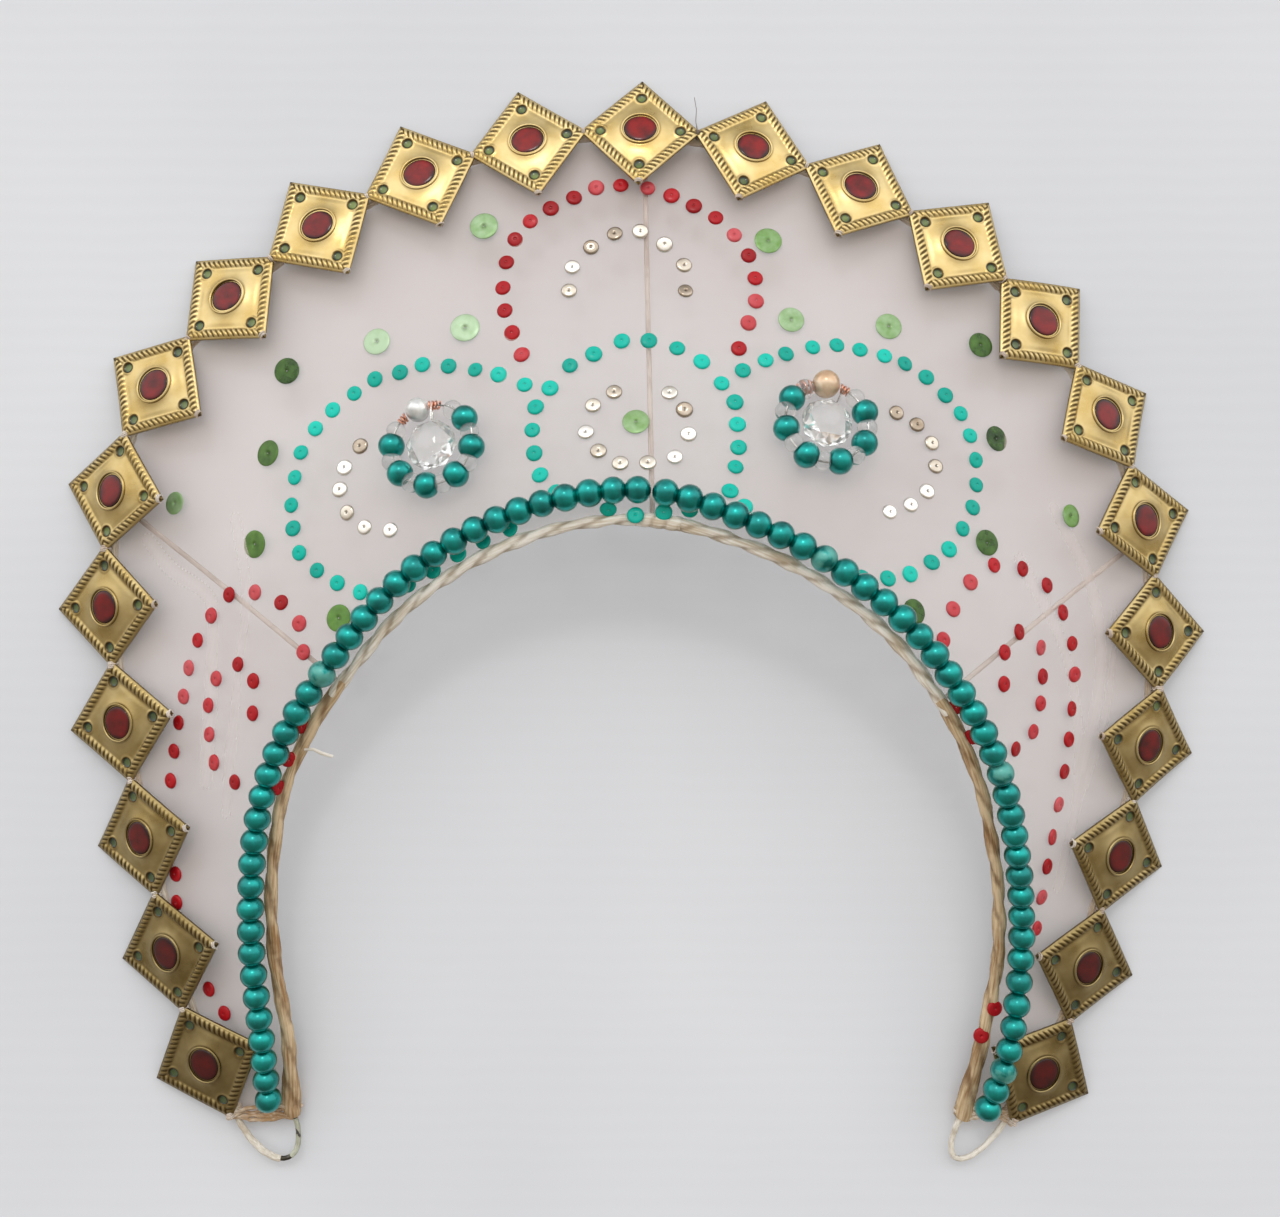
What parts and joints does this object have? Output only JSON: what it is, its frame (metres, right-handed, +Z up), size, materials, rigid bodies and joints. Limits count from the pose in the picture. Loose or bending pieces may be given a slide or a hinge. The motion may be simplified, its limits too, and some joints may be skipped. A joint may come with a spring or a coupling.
{
  "type": "kokoshnik headdress",
  "caption": "Open crescent headdress lying face up: sheer sheet on a bent wire, edged with square brass plaques and pearl beads, with a wire eye at each end for ribbon ties.",
  "frame": {"origin": "middle of the footprint, on the surface that the lowest plaque corner touches", "axes": "+Z up from the surface, out of the decorated face; +Y towards the top of the arch; +X to the right of someone who looks down at the decorated face"},
  "size_m": [0.2702, 0.255, 0.039],
  "materials": {
    "steel_wire": "dull bent wire",
    "cotton_tape": "wrapped cream tape",
    "organza": "sheer stretched cloth",
    "stamped_brass": "stamped and a little tarnished",
    "teal_pearl": "pearl lacquer",
    "white_pearl": "pearl lacquer",
    "cream_pearl": "pearl lacquer",
    "clear_crystal": "faceted and clear"
  },
  "bodies": {
    "root": {"wire_frame": "steel_wire", "inner_binding": "cotton_tape", "membrane": "organza", "spoke_left": "steel_wire", "spoke_centre": "steel_wire", "spoke_right": "steel_wire", "plaque_01": "stamped_brass", "plaque_02": "stamped_brass", "plaque_03": "stamped_brass", "plaque_04": "stamped_brass", "plaque_05": "stamped_brass", "plaque_06": "stamped_brass", "plaque_07": "stamped_brass", "plaque_08": "stamped_brass", "plaque_09": "stamped_brass", "plaque_10": "stamped_brass", "plaque_11": "stamped_brass", "plaque_12": "stamped_brass", "plaque_13": "stamped_brass", "plaque_14": "stamped_brass", "plaque_15": "stamped_brass", "plaque_16": "stamped_brass", "plaque_17": "stamped_brass", "plaque_18": "stamped_brass", "plaque_19": "stamped_brass", "plaque_20": "stamped_brass", "plaque_21": "stamped_brass", "plaque_22": "stamped_brass", "plaque_23": "stamped_brass", "bead_string_left": "teal_pearl", "bead_string_right": "teal_pearl", "left_rosette_ring": "teal_pearl", "left_rosette_pearl": "white_pearl", "left_rosette_crystal": "clear_crystal", "right_rosette_ring": "teal_pearl", "right_rosette_pearl": "cream_pearl", "right_rosette_crystal": "clear_crystal"}
  },
  "joints": []
}
